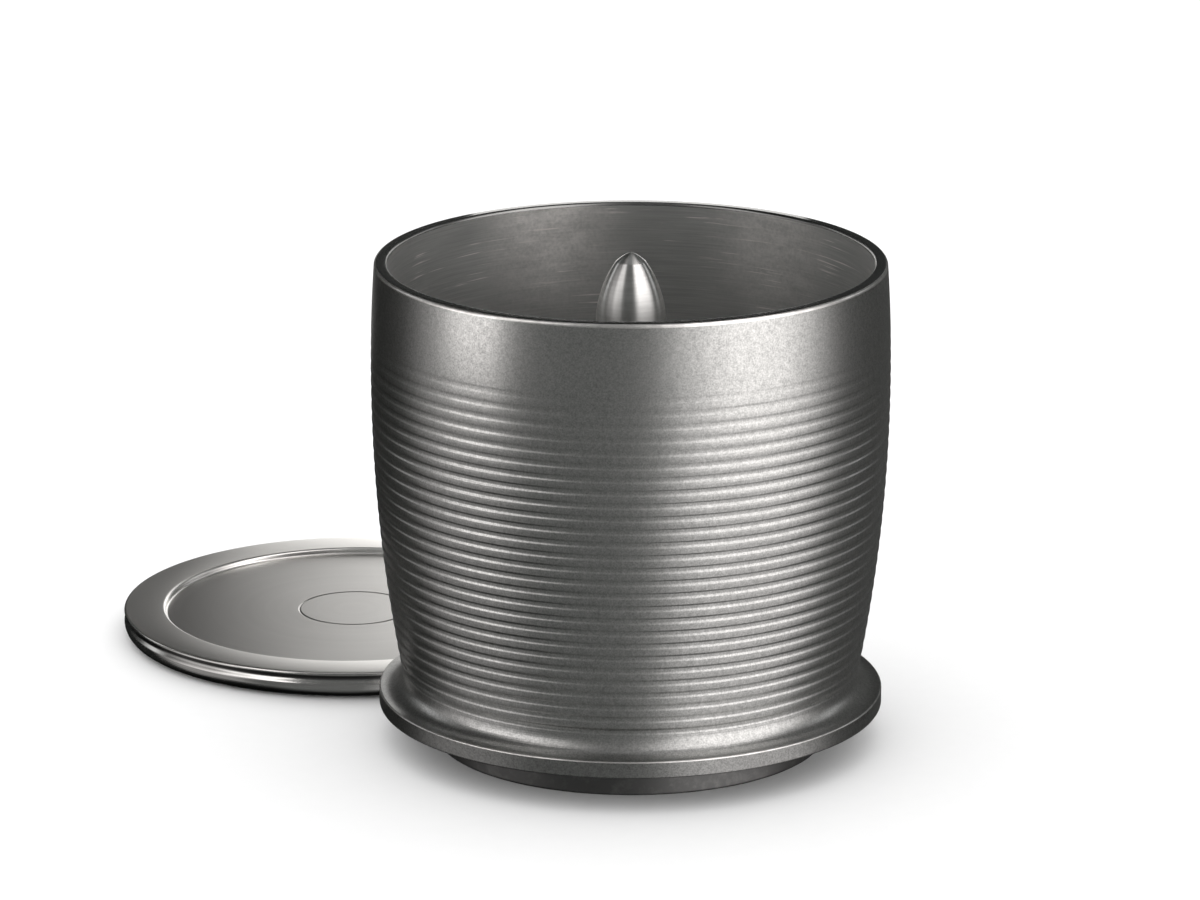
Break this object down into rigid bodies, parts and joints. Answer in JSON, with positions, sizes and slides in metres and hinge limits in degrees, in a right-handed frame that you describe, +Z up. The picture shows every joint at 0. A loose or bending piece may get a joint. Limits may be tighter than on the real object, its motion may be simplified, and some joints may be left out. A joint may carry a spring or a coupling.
{
  "type": "espresso dosing shaker",
  "caption": "Ribbed metal dosing shaker with a basket spigot, a lift-out valve plug on a pointed stem, and a loose round lid.",
  "frame": {"origin": "centre of the spigot's lower end face, on the cup's axis, where the cup stands", "axes": "+Z up along the cup's axis and out of its mouth; the lid lies behind the cup (+Y) and to its left (-X)"},
  "size_m": [0.117, 0.1247, 0.0736],
  "materials": {
    "cup_metal": "bead-blasted and clear anodised, fine speckle",
    "dark_anodised": "black anodised, satin",
    "silicone": "matte silicone",
    "polished_steel": "polished",
    "turned_steel": "fine turned",
    "screw_steel": "turned",
    "lid_metal": "satin turned with a polished edge"
  },
  "bodies": {
    "shaker": {"cup_body": "cup_metal", "spigot_ring": "dark_anodised", "base_seal": "silicone"},
    "plunger": {"bullet_stem": "polished_steel", "valve_plug": "turned_steel", "plug_seal": "silicone", "plug_screw": "screw_steel", "screw_washer": "screw_steel"},
    "lid": {"lid_plate": "lid_metal", "lid_foot_ring": "silicone", "lid_tip_pad": "silicone"}
  },
  "joints": [
    {"name": "plunger_lift", "type": "slide", "parent": "shaker", "child": "plunger", "axis": [0, 0, 1], "range_m": [0, 0.075]},
    {"name": "lid_away", "type": "slide", "parent": "shaker", "child": "lid", "axis": [-1, 0, 0], "range_m": [0, 0.06]}
  ]
}
